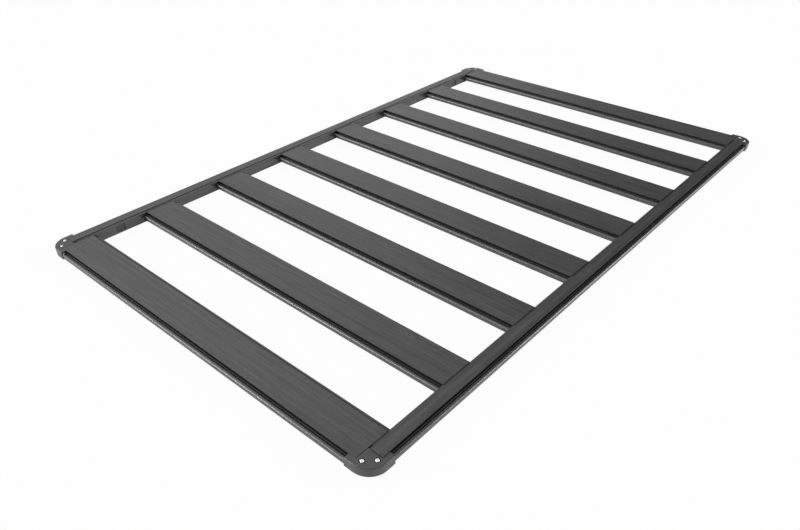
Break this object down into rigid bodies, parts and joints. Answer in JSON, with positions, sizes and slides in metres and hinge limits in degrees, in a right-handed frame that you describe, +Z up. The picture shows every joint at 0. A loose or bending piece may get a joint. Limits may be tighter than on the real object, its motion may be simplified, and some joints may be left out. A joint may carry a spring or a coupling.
{
  "type": "flat platform roof rack",
  "caption": "Low flat vehicle roof rack of black powder-coated aluminium: wide cross beams between two side rails, undercut channels round the edge, rounded corner pieces.",
  "frame": {"origin": "under the middle of the rack, on the plane of the side rails' undersides", "axes": "+X across the rack along the cross beams, +Y along the side rails to the rear, +Z up"},
  "size_m": [1.285, 2.125, 0.033],
  "materials": {
    "powder_coat": "satin black powder coat on extruded aluminium, fine grain with faint lengthwise die lines",
    "corner_coat": "satin black powder coat on cast aluminium, even fine grain",
    "weld_coat": "satin black powder coat over weld fillets, slightly rippled",
    "plug_plastic": "matt black moulded plastic",
    "screw_steel": "bright stainless button heads"
  },
  "bodies": {
    "root": {"side_rail_left": "powder_coat", "side_rail_right": "powder_coat", "front_beam": "powder_coat", "cross_beam_2": "powder_coat", "cross_beam_3": "powder_coat", "cross_beam_4": "powder_coat", "cross_beam_5": "powder_coat", "cross_beam_6": "powder_coat", "cross_beam_7": "powder_coat", "rear_beam": "powder_coat", "corner_front_left": "corner_coat", "corner_front_right": "corner_coat", "corner_rear_left": "corner_coat", "corner_rear_right": "corner_coat", "access_plug_front_left": "plug_plastic", "access_plug_front_right": "plug_plastic", "access_plug_rear_left": "plug_plastic", "access_plug_rear_right": "plug_plastic", "weld_fillets_left": "weld_coat", "weld_fillets_right": "weld_coat"}
  },
  "joints": []
}
